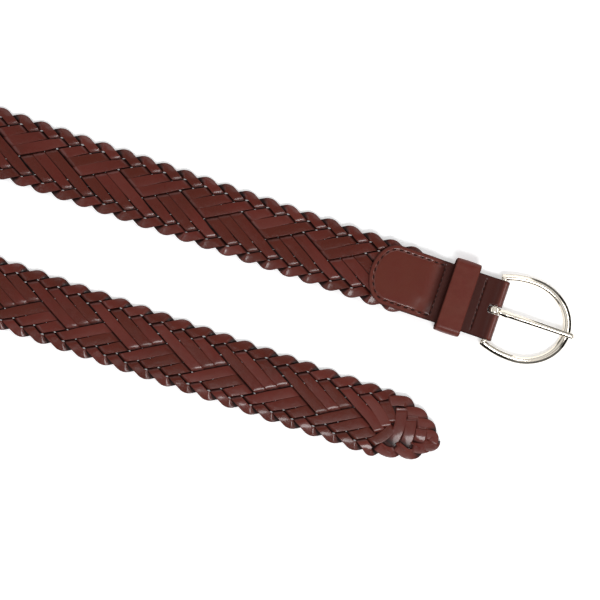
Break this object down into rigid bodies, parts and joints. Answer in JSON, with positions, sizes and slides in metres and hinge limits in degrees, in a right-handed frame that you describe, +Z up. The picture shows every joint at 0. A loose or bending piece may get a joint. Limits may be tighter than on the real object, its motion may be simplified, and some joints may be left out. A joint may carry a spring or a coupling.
{
  "type": "braided belt",
  "caption": "Unfastened braided leather belt laid flat at both ends, with a folded buckle strap, plain keeper loop, D-shaped frame buckle and single prong.",
  "frame": {"origin": "on the table, under the middle of the whole belt's bounding box", "axes": "+X along both runs, towards the buckle and the tip; +Y from the tip's run to the buckle's run; +Z up, out of the front face of the flat ends"},
  "size_m": [0.5354, 0.1138, 0.035],
  "materials": {
    "braid_leather": "semi-gloss dark red-brown, woven strips",
    "strap_leather": "semi-gloss dark red-brown, smooth and stitched",
    "buckle_metal": "polished pale nickel"
  },
  "bodies": {
    "belt": {"braid": "braid_leather", "buckle_strap": "strap_leather", "keeper": "strap_leather"},
    "frame": {"buckle_frame": "buckle_metal"},
    "prong": {"prong": "buckle_metal"}
  },
  "joints": [
    {"name": "frame_swing", "type": "hinge", "parent": "belt", "child": "frame", "pos_m": [0.22445, 0.03455, 0.0034], "axis": [0, -1, 0], "range_deg": [-90, 45]},
    {"name": "prong_swing", "type": "hinge", "parent": "frame", "child": "prong", "pos_m": [0.22445, 0.03455, 0.0034], "axis": [0, -1, 0], "range_deg": [0, 90]}
  ]
}
